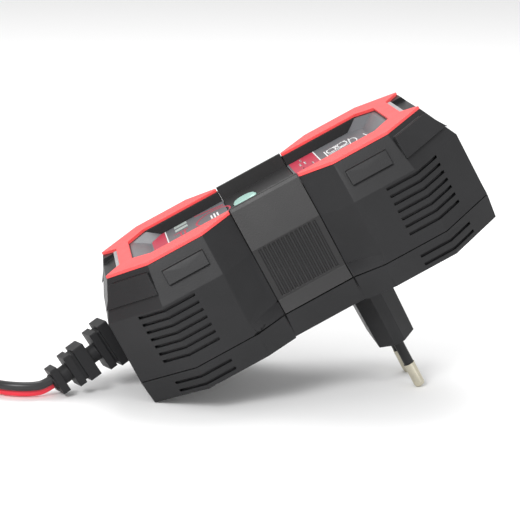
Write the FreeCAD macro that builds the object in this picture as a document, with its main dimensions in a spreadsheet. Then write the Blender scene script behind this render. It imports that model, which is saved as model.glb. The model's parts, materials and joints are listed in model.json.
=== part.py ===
import FreeCAD, Part
import math
import os
import Sketcher
from FreeCAD import Placement, Rotation, Vector

# Plug-in charger for 12 V car batteries, in millimetres.
# The housing is drawn in its own design frame: origin midway between the collars the
# two mains pins leave by, pins along -Z, label side +Z, output lead towards -X.
# The finished pieces are then tipped by one common placement, because the charger
# rests on a table on its two pin tips and the lower edge of its lead end.
# The lead, its coil and the two battery clamps lie on the table and are drawn there.

os.makedirs("parts", exist_ok=True)
doc = FreeCAD.newDocument("battery_charger")

SIZES = {
    # pose on the table
    "rest_angle": 28.40, "rest_shift": 46.45, "rest_lift": 17.14,
    # housing levels (heights) and the middle of its length
    "mid_x": -17.5, "base_z": 26.2, "lower_top": 34.85, "upper_bottom": 35.15, "ledge_z": 39.3,
    "kink_z": 58.7, "roof_z": 66.0, "rim_z": 72.4,
    # half sizes of the faceted outline at each level
    "rim_end": 60.3, "rim_end_half": 18.2, "rim_corner": 45.5, "rim_half": 29.1,
    "rim_waist": 24.7, "rim_band": 13.3, "rim_band_half": 21.2,
    "roof_end": 63.6, "roof_end_half": 18.85, "roof_corner": 46.5, "roof_half": 31.7,
    "roof_waist": 24.7, "roof_band": 13.3, "roof_band_half": 23.8,
    "kink_end": 67.4, "kink_end_half": 19.6, "kink_corner": 47.7, "kink_half": 34.7,
    "kink_waist": 24.7, "kink_band": 13.3, "kink_band_half": 26.8,
    "ledge_end": 67.6, "ledge_end_half": 19.8, "ledge_corner": 47.7, "ledge_half": 35.1,
    "ledge_waist": 25.3, "ledge_band": 13.3, "ledge_band_half": 26.8,
    "seam_end": 67.7, "seam_end_half": 20.0, "seam_corner": 47.7, "seam_half": 35.3,
    "seam_waist": 24.2, "seam_band": 13.3, "seam_band_half": 30.8,
    "base_end": 67.0, "base_end_half": 19.4, "base_corner": 47.4, "base_half": 34.6,
    "base_waist": 24.4, "base_band": 13.3, "base_band_half": 30.1,
    # insets of the outline: end faces and sides, then the shifts of its corners
    "wall": 2.4, "wall_at_corner": 0.82, "wall_at_end": 1.18, "wall_at_waist": 0.75,
    "tray": 3.5, "tray_at_corner": 1.19, "tray_at_end": 1.72, "tray_at_waist": 1.09,
    "lip": 2.55, "lip_at_corner": 0.87, "lip_at_end": 1.26, "lip_at_waist": 0.80,
    "slot": 1.2, "slot_at_corner": 0.41, "slot_at_end": 0.59, "slot_at_waist": 0.37,
    "pad": -1.3, "pad_at_corner": -0.44, "pad_at_end": -0.64, "pad_at_waist": -0.41,
    "lip_height": 1.5, "lip_break": 25.5, "floor_top": 28.2,
    # vent slots
    "vent_near": 36.2, "vent_span": 20.6, "vent_first": 39.65, "vent_pitch": 2.88,
    "vent_height": 1.05, "low_vent_first": 27.75, "low_vent_pitch": 3.2,
    # raised pads on the sloping faces
    "pad_near": 27.0, "pad_length": 15.2, "pad_low": 64.0, "pad_height": 4.8,
    "corner_pad_near": 46.9, "corner_pad_length": 18.6, "corner_pad_side": 20.3,
    "corner_pad_low": 63.3, "corner_pad_height": 7.4, "far": 90.0, "reach": 45.0,
    # label trough and its panels
    "trough_end": 49.8, "trough_end_half": 13.0, "trough_corner": 43.0, "trough_half": 19.4,
    "trough_foot_end": 42.8, "trough_foot_half": 18.6, "trough_foot_corner": 38.0,
    "trough_z": 68.0, "panel": 0.8, "panel_gap": 0.15,
    # red frames
    "frame_joint": 13.3, "frame_joint_half": 21.5, "frame_thick": 1.1, "notch_x": 54.6,
    "notch_half": 12.2, "notch_mouth": 59.6, "notch_mouth_half": 17.2,
    "strip_length": 1.5, "strip_half": 11.4, "strip_height": 1.8,
    # centre band
    "band_half_length": 13.0, "band_slot": 13.2, "band_foot": 31.0, "band_foot_in": 29.7,
    "band_side": 27.2, "band_side_in": 25.9, "band_bottom": 35.3, "band_ledge": 39.4,
    "band_kink": 58.8, "band_shoulder": 21.6, "band_shoulder_z": 72.6, "band_top": 73.8,
    "band_crest": 20.9, "band_crest_in": 19.5, "band_floor_half": 18.6, "band_floor": 68.8,
    "band_under": 67.5, "band_under_half": 22.3, "band_play": 0.12,
    "rib_pitch": 1.72, "rib_groove": 0.8, "rib_depth": 0.55, "rib_low": 40.3, "rib_tall": 17.9,
    # mode button and the switch under it
    "button_x": -6.0, "button_y": 3.6, "button_r": 4.5, "button_hole_r": 4.75,
    "button_top": 69.5, "button_flange_r": 5.7, "button_flange_z": 64.6,
    "button_flange_thick": 1.1, "button_stem_r": 1.5, "button_stem_z": 61.9,
    # mains plug, flat two-pin type
    "plug_half_width": 6.85, "plug_end": 1.8, "plug_half_length": 17.65, "plug_shoulder": 12.0,
    "plug_nose": 2.0, "plug_flare": 0.7, "plug_flare_z": 28.2, "plug_flange": 1.6,
    "plug_flange_thick": 2.2, "plug_play": 0.12, "pin_spacing": 18.2, "pin_r": 2.0,
    "pin_length": 19.0, "pin_tip_r": 0.9, "pin_tip": 1.4, "sleeve_end": 9.4,
    "pin_core_r": 1.5, "pin_collar_r": 2.45, "pin_root": 26.0, "sleeve_root": 3.0, "sleeve_r": 1.8,
    # boards and what stands on them
    "board_z": 38.0, "board_thick": 1.6, "board_half_length": 49.0, "board_half_width": 22.0,
    "panel_board_z": 57.0, "panel_board_half": 33.0, "panel_board_half_width": 12.0,
    "post_x": 44.0, "post_y": 17.0, "post_r": 2.6, "post_hole_r": 1.05, "screw_shaft_r": 1.0,
    "screw_head_r": 2.0, "screw_head": 1.4, "hanger_x": 28.0,
    "boss_x": 56.0, "boss_y": 15.0, "boss_r": 3.3, "boss_hole_r": 1.25, "boss_low": 36.0,
    "case_screw_r": 1.2, "case_head_r": 2.7, "case_head_low": 27.2, "case_head": 2.0,
    "case_screw_top": 47.0, "case_pocket_r": 3.0, "case_post_r": 4.4,
    # lead outlet
    "outlet_z": 48.5, "outlet_x": -84.9, "outlet_r": 4.7, "relief_yaw": 17.0,
    "relief_pitch": -3.0,
    # output lead: a twin lead whose envelope is a round of lead_d
    "lead_d": 6.4, "tail_d": 3.2, "coil_x": -148.4, "coil_y": 0.0, "coil_mid_r": 25.8,
    "coil_half_width": 9.6, "coil_height": 13.0, "tie_width": 9.0, "tie_thick": 1.2,
    "splitter_x": -219.2, "splitter_length": 12.0, "splitter_half": 4.6, "splitter_height": 6.4,
    # battery clamps, lying on their sides with the pivot upright
    "clamp_x": -279.2, "clamp_offset": 19.5, "clamp_thick": 14.0, "ear_r": 6.0, "ear_free": 6.6,
    "ear_outer": 3.0, "ear_play": 0.4, "clamp_pin_r": 1.6, "clamp_pin_play": 0.06,
    "jaw_tip": 38.0, "jaw_back": 17.0, "jaw_gap": 0.3, "contact_thick": 1.1, "contact_low": 3.0,
    "contact_tall": 8.0, "spring_x": 20.0, "spring_r": 3.6, "spring_bore": 2.7,
    "spring_half": 8.5, "handle_end": 37.5,
}

sheet = doc.addObject("Spreadsheet::Sheet", "Sizes")
for row, (alias, value) in enumerate(SIZES.items(), start=1):
    sheet.set(f"A{row}", alias)
    sheet.set(f"B{row}", str(value))
    sheet.setAlias(f"B{row}", alias)
doc.recompute()

NODES = []


def total(words):
    """Value and expression of a sum such as 'mid_x -wall +0.5'; each word is an alias or a number."""
    value, text = 0.0, ""
    for word in str(words).split():
        sign = -1 if word[0] == "-" else 1
        name = word.lstrip("+-")
        text += "-" if sign < 0 else "+"
        if name in SIZES:
            value += sign * float(sheet.get(name))
            text += "Sizes." + name
        else:
            value += sign * float(name)
            text += name
    return value, text.lstrip("+")


def size(words):
    return total(words)[0]


def bind(thing, prop, words):
    thing.setExpression(prop, total(words)[1])


def flip(sign, words):
    """The words of a sum, all signs turned when sign is negative."""
    if sign > 0:
        return words
    return " ".join(w[1:] if w[0] == "-" else "-" + w.lstrip("+") for w in words.split())


def place(thing, x, y, z):
    for axis, words in zip("xyz", (x, y, z)):
        bind(thing, f"Placement.Base.{axis}", words)
    return thing


def box(name, x, y, z, length, width, height):
    thing = doc.addObject("Part::Box", name)
    for prop, words in (("Length", length), ("Width", width), ("Height", height)):
        bind(thing, prop, words)
    return place(thing, x, y, z)


TURNS = {
    "x": Rotation(Vector(0, 1, 0), 90),
    "y": Rotation(Vector(1, 0, 0), -90),
    "z": Rotation(),
}


def rod(name, x, y, z, radius, height, along="z"):
    thing = doc.addObject("Part::Cylinder", name)
    bind(thing, "Radius", radius)
    bind(thing, "Height", height)
    thing.Placement = Placement(Vector(), TURNS[along])
    return place(thing, x, y, z)


def polygon(sketch, points):
    """Draw a closed polygon; each corner is tied to the sheet by its two distances."""
    corners = [(total(x), total(y)) for x, y in points]
    spots = [Vector(x[0], y[0], 0) for x, y in corners]
    count = len(spots)
    for i in range(count):
        sketch.addGeometry(Part.LineSegment(spots[i], spots[(i + 1) % count]))
    for i in range(count):
        sketch.addConstraint(Sketcher.Constraint("Coincident", i, 2, (i + 1) % count, 1))
    for i, corner in enumerate(corners):
        for kind, axis, (value, text) in (("DistanceX", -2, corner[0]), ("DistanceY", -1, corner[1])):
            if abs(value) < 1e-9:
                sketch.addConstraint(Sketcher.Constraint("PointOnObject", i, 1, axis))
                continue
            first, second = ((-1, 1), (i, 1)) if value > 0 else ((i, 1), (-1, 1))
            index = sketch.addConstraint(Sketcher.Constraint(kind, *first, *second, abs(value)))
            sketch.setExpression(f"Constraints[{index}]", text if value > 0 else f"-({text})")
    return sketch


def outline(name, points, z="0", plane=None):
    sketch = doc.addObject("Sketcher::SketchObject", name)
    sketch.Placement = plane or Placement()
    if plane is None:
        bind(sketch, "Placement.Base.z", z)
    return polygon(sketch, points)


def loft(name, sections):
    thing = doc.addObject("Part::Loft", name)
    thing.Sections = sections
    thing.Solid = True
    thing.Ruled = True
    return thing


def prism(name, points, start, length, side="z"):
    """A polygon extruded from start over length along z (points x, y), y (x, z) or x (y, z)."""
    if side == "z":
        sketch = outline(name + "_outline", points, start)
        way = Vector(0, 0, 1)
    elif side == "y":
        sketch = outline(name + "_outline", points, plane=Placement(Vector(), Rotation(Vector(1, 0, 0), 90)))
        bind(sketch, "Placement.Base.y", start)
        way = Vector(0, 1, 0)
    else:
        sketch = outline(name + "_outline", points, plane=Placement(Vector(), Rotation(Vector(1, 1, 1), 120)))
        bind(sketch, "Placement.Base.x", start)
        way = Vector(1, 0, 0)
    thing = doc.addObject("Part::Extrusion", name)
    thing.Base = sketch
    thing.DirMode = "Custom"
    thing.Dir = way
    thing.Solid = True
    bind(thing, "LengthFwd", length)
    return thing


def fuse(name, *things):
    if len(things) == 1:
        return things[0]
    thing = doc.addObject("Part::MultiFuse", name)
    thing.Shapes = list(things)
    return thing


def common(name, first, second):
    thing = doc.addObject("Part::MultiCommon", name)
    thing.Shapes = [first, second]
    return thing


def cut(name, base, *tools):
    thing = doc.addObject("Part::Cut", name)
    thing.Base = base
    thing.Tool = fuse(name + "_tools", *tools)
    return thing


def group(name, *things):
    """Identical loose pieces that share one node."""
    thing = doc.addObject("Part::Compound", name)
    thing.Links = list(things)
    return thing


def finish(thing, label, tipped=True):
    """Hold a finished piece, or a group of loose ones, in a named compound with its placement."""
    holder = doc.addObject("Part::Compound", thing.Name + "Placed")
    holder.Links = list(thing.Links) if thing.TypeId == "Part::Compound" else [thing]
    holder.Label = label
    NODES.append((holder, tipped))
    return holder


def body(name):
    return doc.addObject("PartDesign::Body", name)


def body_sketch(owner, name, role, height="0"):
    """An empty sketch of a body on one of its origin planes, raised by height."""
    plane = next(f for f in owner.Origin.OriginFeatures if f.Role == role)
    sketch = owner.newObject("Sketcher::SketchObject", name)
    sketch.AttachmentSupport = [(plane, "")]
    sketch.MapMode = "FlatFace"
    bind(sketch, "AttachmentOffset.Base.z", height)
    return sketch


def turned(name, points, x, y):
    """A body turned about a vertical axis from a half profile of (radius, height) corners."""
    owner = body(name)
    sketch = polygon(body_sketch(owner, name + "_profile", "XZ_Plane"), points)
    turn = owner.newObject("PartDesign::Revolution", name + "_turn")
    turn.Profile = sketch
    turn.ReferenceAxis = (sketch, ["V_Axis"])
    turn.Angle = 360
    place(owner, x, y, "0")
    return owner


# ---------------------------------------------------------------- housing outline
def housing_outline(name, level, z, inset=None):
    """The sixteen-sided outline of the housing at a level, drawn in by an inset of the sheet."""
    side, corner, end, waist = (
        (f" -{inset}", f" -{inset}_at_corner", f" -{inset}_at_end", f" +{inset}_at_waist")
        if inset
        else ("", "", "", "")
    )
    quarter = (
        (f"{level}_band{waist}", f"{level}_band_half{side}"),
        (f"{level}_waist{waist}", f"{level}_half{side}"),
        (f"{level}_corner{corner}", f"{level}_half{side}"),
        (f"{level}_end{side}", f"{level}_end_half{end}"),
    )
    points = []
    for way_x, way_y, order in ((1, -1, 1), (1, 1, -1), (-1, 1, 1), (-1, -1, -1)):
        for x, y in quarter[::order]:
            points.append(("mid_x " + signed(way_x, x), flip(way_y, y)))
    return outline(name, points, z)


def signed(sign, words):
    """The words of a sum with an explicit sign on each, to be added to another sum."""
    text = flip(sign, words)
    return " ".join(w if w[0] in "+-" else "+" + w for w in text.split())


def housing_loft(name, levels, inset=None):
    return loft(name, [housing_outline(f"{name}_{level}", level, z, inset) for level, z in levels])


UPPER_LEVELS = (("seam", "upper_bottom"), ("ledge", "ledge_z"), ("kink", "kink_z"), ("rim", "rim_z"))


def both_ends(name, make):
    return [make(f"{name}_{tag}", way) for tag, way in (("left", -1), ("right", 1))]


def span(way, near, length):
    """Start of a span of the given length that begins near from the middle, on one side of it."""
    return f"mid_x {signed(1, near)}" if way > 0 else f"mid_x {signed(-1, near)} {signed(-1, length)}"


# ---------------------------------------------------------------- upper housing
def vent_rows(name, count, first, pitch):
    """Level slabs on both sides of the middle, one for each vent slot."""
    slabs = []
    for way in (-1, 1):
        for row in range(count):
            slab = box(f"{name}_{row}_{'left' if way < 0 else 'right'}",
                       span(way, "vent_near", "vent_span"), "-reach", first,
                       "vent_span", "reach +reach", "vent_height")
            slab.setExpression("Placement.Base.z", f"Sizes.{first} + {row} * Sizes.{pitch}")
            slabs.append(slab)
    return fuse(name, *slabs)


def raised_pads():
    skin = housing_loft("pad_skin", (("kink", "kink_z"), ("rim", "rim_z")), "pad")
    blocks = []
    for tag, way in (("left", -1), ("right", 1)):
        blocks.append(box(f"pad_block_{tag}", span(way, "pad_near", "pad_length"), "-reach",
                          "pad_low", "pad_length", "reach +reach", "pad_height"))
        for side, start in (("front", "-reach"), ("back", "corner_pad_side")):
            blocks.append(box(f"corner_block_{tag}_{side}",
                              span(way, "corner_pad_near", "corner_pad_length"), start,
                              "corner_pad_low", "corner_pad_length", "reach -corner_pad_side",
                              "corner_pad_height"))
    return common("raised_pads", skin, fuse("pad_blocks", *blocks))


def trough_outline(name, z, end, end_half, corner, half):
    points = [
        (f"mid_x +{end}", f"-{end_half}"), (f"mid_x +{end}", end_half),
        (f"mid_x +{corner}", half), (f"mid_x -{corner}", half),
        (f"mid_x -{end}", end_half), (f"mid_x -{end}", f"-{end_half}"),
        (f"mid_x -{corner}", f"-{half}"), (f"mid_x +{corner}", f"-{half}"),
    ]
    return outline(name, points, z)


def trough(name, lift="0"):
    """The room of the label trough: ramps at both ends, open at the top."""
    foot = trough_outline(name + "_foot", "trough_z +" + lift, "trough_foot_end",
                          "trough_end_half", "trough_foot_corner", "trough_foot_half")
    mouth = trough_outline(name + "_mouth", "rim_z +" + lift, "trough_end",
                           "trough_end_half", "trough_corner", "trough_half")
    return loft(name, [foot, mouth])


def boss(name, way_x, way_y, low, height, radius):
    return rod(name, "mid_x " + signed(way_x, "boss_x"), flip(way_y, "boss_y"), low, radius, height)


CORNERS = [(x, y) for x in (-1, 1) for y in (-1, 1)]


def upper_housing():
    outer = fuse("upper_outer", housing_loft("upper_shell", UPPER_LEVELS), raised_pads())
    room = housing_loft("upper_room", (("seam", "upper_bottom"), ("ledge", "ledge_z"),
                                       ("kink", "kink_z"), ("roof", "roof_z")), "wall")
    core = housing_loft("vent_core", UPPER_LEVELS[:3], "slot")
    vents = cut("vent_slots", vent_rows("vent_rows", 7, "vent_first", "vent_pitch"), core)
    band_room = cut("band_room",
                    box("band_block", "mid_x -band_slot", "-reach", "upper_bottom -1",
                        "band_slot +band_slot", "reach +reach", "reach"),
                    prism("band_core", band_core_points(), "mid_x -band_slot",
                          "band_slot +band_slot", "x"))
    button_hole = rod("button_hole", "mid_x +button_x", "button_y", "roof_z -1",
                      "button_hole_r", "6")
    outlet = rod("outlet_hole", "mid_x -kink_end -5", "0", "outlet_z", "outlet_r", "12", "x")
    notches = both_ends("end_notch", end_notch)
    shell = cut("upper_hollow", outer, room, vents, band_room, trough("trough_room"),
                button_hole, outlet, *notches)
    bosses = [boss(f"boss_{i}", x, y, "boss_low", "roof_z -boss_low +1", "boss_r")
              for i, (x, y) in enumerate(CORNERS)]
    hangers = [rod(f"hanger_{tag}", "mid_x " + signed(way, "hanger_x"), "0",
                   "panel_board_z +board_thick", "post_r", "roof_z -panel_board_z -board_thick +1")
               for tag, way in (("left", -1), ("right", 1))]
    solid = fuse("upper_solid", shell, *bosses, *hangers)
    pilots = [boss(f"pilot_{i}", x, y, "boss_low -1", "14", "boss_hole_r")
              for i, (x, y) in enumerate(CORNERS)]
    pilots += [rod(f"hanger_pilot_{tag}", "mid_x " + signed(way, "hanger_x"), "0",
                   "panel_board_z", "post_hole_r", "7") for tag, way in (("left", -1), ("right", 1))]
    return finish(cut("UpperHousing", solid, *pilots), "upper_housing")


def end_notch(name, way):
    """A shallow sunk step in the rim between the prongs of each red frame."""
    points = [
        ("mid_x " + signed(way, "notch_x"), "rim_z +1"),
        ("mid_x " + signed(way, "rim_end +4"), "rim_z +1"),
        ("mid_x " + signed(way, "rim_end +4"), "rim_z -2.6"),
        ("mid_x " + signed(way, "notch_x +strip_length"), "rim_z -1.2"),
        ("mid_x " + signed(way, "notch_x"), "rim_z -1.2"),
    ]
    return prism(name, points[::way], "-notch_half", "notch_half +notch_half", "y")


def band_core_points():
    foot, side, under = "band_foot_in -band_play", "band_side_in -band_play", "band_under_half -band_play"
    half = [(foot, "band_bottom -2"), (foot, "band_bottom"), (side, "band_ledge -0.4"),
            (side, "band_kink -0.4"), (under, "band_under -band_play")]
    return [(y, z) for y, z in half] + [(flip(-1, y), z) for y, z in half[::-1]]


# ---------------------------------------------------------------- lower housing
def lower_housing():
    levels = (("base", "base_z"), ("seam", "lower_top"))
    outer = housing_loft("lower_shell", levels)
    core = housing_loft("low_vent_core", levels, "slot")
    vents = cut("low_vent_slots", vent_rows("low_vent_rows", 2, "low_vent_first", "low_vent_pitch"), core)
    tray = loft("lower_room", [housing_outline("lower_room_foot", "base", "floor_top", "tray"),
                               housing_outline("lower_room_top", "seam", "lower_top", "tray")])
    lip_outer = housing_outline("lip_outer", "seam", "lower_top -0.5", "lip")
    lip_inner = housing_outline("lip_inner", "seam", "lower_top -0.5", "tray")
    lip = cut("lip_ring", extrude("lip_full", lip_outer, "lip_height +0.5"),
              extrude("lip_hollow", lip_inner, "lip_height +0.5"),
              box("lip_break", "mid_x -lip_break", "-reach", "lower_top", "lip_break +lip_break",
                  "reach +reach", "lip_height +1"))
    posts = [boss(f"case_post_{i}", x, y, "floor_top -0.5", "boss_low -floor_top +0.5", "case_post_r")
             for i, (x, y) in enumerate(CORNERS)]
    posts += [rod(f"board_post_{i}", "mid_x " + signed(x, "post_x"), flip(y, "post_y"),
                  "floor_top -0.5", "post_r", "board_z -floor_top +0.5")
              for i, (x, y) in enumerate(CORNERS)]
    solid = fuse("lower_solid", cut("lower_hollow", outer, tray, vents), lip, *posts)
    plug_hole = plug_loft("plug_hole", "plug_play")
    holes = [boss(f"case_hole_{i}", x, y, "base_z -1", "boss_low -base_z +2", "case_screw_r +0.3")
             for i, (x, y) in enumerate(CORNERS)]
    holes += [boss(f"case_pocket_{i}", x, y, "base_z -1", "case_head_low +case_head -base_z +1",
                   "case_pocket_r") for i, (x, y) in enumerate(CORNERS)]
    holes += [rod(f"board_pilot_{i}", "mid_x " + signed(x, "post_x"), flip(y, "post_y"),
                  "board_z -7", "post_hole_r", "8") for i, (x, y) in enumerate(CORNERS)]
    lines = [box(f"band_line_{side}_{tag}", "mid_x " + signed(way, "band_slot") + " -0.2", start,
                 "base_z -1", "0.4", "reach -seam_band_half +0.5", "lower_top -base_z +2")
             for tag, way in (("left", -1), ("right", 1))
             for side, start in (("front", "-reach"), ("back", "seam_band_half -0.5"))]
    return finish(cut("LowerHousing", solid, plug_hole, *holes, *lines), "lower_housing")


def extrude(name, sketch, height):
    thing = doc.addObject("Part::Extrusion", name)
    thing.Base = sketch
    thing.DirMode = "Custom"
    thing.Dir = Vector(0, 0, 1)
    thing.Solid = True
    bind(thing, "LengthFwd", height)
    return thing


# ---------------------------------------------------------------- trim of the label side
def frame_points(way):
    half = [
        ("frame_joint", "frame_joint_half"), ("rim_waist", "rim_half"), ("rim_corner", "rim_half"),
        ("rim_end", "rim_end_half"), ("notch_mouth", "notch_mouth_half"), ("notch_x", "notch_half"),
    ]
    inner = [("frame_joint", "trough_half"), ("trough_corner", "trough_half"),
             ("trough_end", "trough_end_half")]
    ring = [(x, flip(-1, y)) for x, y in half] + half[::-1] + inner
    ring += [(x, flip(-1, y)) for x, y in inner[::-1]]
    return [("mid_x " + signed(way, x), y) for x, y in ring]


def red_frame(tag, way):
    frame = prism(f"RedFrame_{tag}", frame_points(way), "rim_z", "frame_thick")
    return finish(frame, f"red_frame_{tag}")


def end_strips():
    """Pale bars that stand in the notch, beside the end of each red frame."""
    return both_ends("end_strip", lambda name, way: box(
        name, span(way, "notch_x +0.05", "strip_length -0.1"), "-strip_half", "rim_z -1.2",
        "strip_length -0.1", "strip_half +strip_half", "strip_height"))


def label_panel(tag, way):
    """A thin foil-faced tray that lines the trough: its floor and the ramp at its end."""
    start = "mid_x +band_slot" if way > 0 else "mid_x -trough_end"
    block = box(f"panel_block_{tag}", start, "-trough_foot_half +panel_gap", "trough_z -1",
                "trough_end -band_slot", "trough_foot_half +trough_foot_half -panel_gap -panel_gap",
                "rim_z -trough_z +0.8")
    layer = cut(f"panel_layer_{tag}", trough(f"panel_under_{tag}"),
                trough(f"panel_over_{tag}", "panel"))
    return finish(common(f"LabelPanel_{tag}", layer, block), f"label_panel_{tag}")


def centre_band():
    outer = [("band_foot", "band_bottom"), ("band_side", "band_ledge"), ("band_side", "band_kink"),
             ("band_shoulder", "band_shoulder_z"), ("band_crest", "band_top"),
             ("band_crest_in", "band_top"), ("band_floor_half", "band_floor")]
    inner = [("band_under_half", "band_under"), ("band_side_in", "band_kink -0.3"),
             ("band_side_in", "band_ledge -0.3"), ("band_foot_in", "band_bottom")]
    points = [(flip(-1, y), z) for y, z in outer] + outer[::-1] + inner[::-1]
    points += [(flip(-1, y), z) for y, z in inner]
    arch = prism("band_arch", points, "mid_x -band_half_length",
                 "band_half_length +band_half_length", "x")
    grooves = []
    for side, start in (("front", "-reach"), ("back", "band_side -rib_depth")):
        for rib in range(13):
            groove = box(f"rib_groove_{side}_{rib}", "mid_x", start, "rib_low", "rib_groove",
                         "reach -band_side +rib_depth", "rib_tall")
            groove.setExpression("Placement.Base.x",
                                 f"Sizes.mid_x + {rib - 6} * Sizes.rib_pitch - Sizes.rib_groove / 2")
            grooves.append(groove)
    hole = rod("band_button_hole", "mid_x +button_x", "button_y", "band_under -1", "button_hole_r", "4")
    return finish(cut("CentreBand", arch, *grooves, hole), "centre_band")


def mode_button():
    points = [("0", "button_stem_z"), ("button_stem_r", "button_stem_z"),
              ("button_stem_r", "button_flange_z"), ("button_flange_r", "button_flange_z"),
              ("button_flange_r", "button_flange_z +button_flange_thick"),
              ("button_r", "button_flange_z +button_flange_thick"),
              ("button_r", "button_top -0.5"), ("button_r -0.6", "button_top"), ("0", "button_top")]
    return finish(turned("ModeButton", points, "mid_x +button_x", "button_y"), "mode_button")


# ---------------------------------------------------------------- mains plug
def plug_outline(name, z, grow):
    wide = f"plug_half_width {grow}"
    points = [("plug_nose", f"-plug_half_length {flip(-1, grow)}"), (wide, "-plug_shoulder"),
              (wide, "plug_shoulder"), ("plug_nose", f"plug_half_length {grow}"),
              ("-plug_nose", f"plug_half_length {grow}"), (flip(-1, wide), "plug_shoulder"),
              (flip(-1, wide), "-plug_shoulder"), ("-plug_nose", f"-plug_half_length {flip(-1, grow)}")]
    return outline(name, points, z)


def plug_loft(name, grow):
    foot = plug_outline(name + "_foot", "plug_end", f"+{grow}")
    top = plug_outline(name + "_top", "plug_flare_z", f"+{grow} +plug_flare")
    return loft(name, [foot, top])


def pin_spots():
    """Both pins stand across the charger's length, at equal distances from the middle."""
    return (("front", -1), ("back", 1))


def plug_parts():
    block = plug_loft("plug_solid", "0.0")
    flange = prism("plug_flange_plate",
                   [("plug_half_width +2", "-plug_half_length -1"), ("plug_half_width +2", "plug_half_length +1"),
                    ("-plug_half_width -2", "plug_half_length +1"), ("-plug_half_width -2", "-plug_half_length -1")],
                   "plug_flare_z", "plug_flange_thick")
    bores, pins, sleeves, collars = [], [], [], []
    for tag, way in pin_spots():
        core = rod(f"core_bore_{tag}", "0", "0", "-1", "pin_core_r", "40")
        seat = rod(f"sleeve_seat_{tag}", "0", "0", "-1", "sleeve_r", "sleeve_root +1")
        pin = turned(f"pin_{tag}", [("0", "-pin_length"), ("pin_tip_r", "-pin_length"),
                                    ("pin_r -0.3", "-pin_length +0.5"),
                                    ("pin_r", "-pin_length +pin_tip"), ("pin_r", "-sleeve_end"),
                                    ("pin_core_r", "-sleeve_end"), ("pin_core_r", "pin_root"),
                                    ("0", "pin_root")], "0", "0")
        tube = cut(f"sleeve_{tag}",
                   rod(f"sleeve_full_{tag}", "0", "0", "-sleeve_end", "sleeve_r", "sleeve_end +sleeve_root"),
                   rod(f"sleeve_bore_{tag}", "0", "0", "-sleeve_end -1", "pin_core_r", "60"))
        collar = rod(f"pin_collar_{tag}", "0", "0", "0", "pin_collar_r", "plug_end +1")
        for thing in (core, seat, pin, tube, collar):
            thing.setExpression("Placement.Base.y", f"{way} * Sizes.pin_spacing / 2")
        bores += [core, seat]
        pins.append(pin)
        sleeves.append(tube)
        collars.append(collar)
    finish(cut("PlugBlock", fuse("plug_whole", block, flange, *collars), *bores), "plug_block")
    finish(group("PlugPins", *pins), "plug_pins")
    finish(group("PinSleeves", *sleeves), "pin_sleeves")


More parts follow.
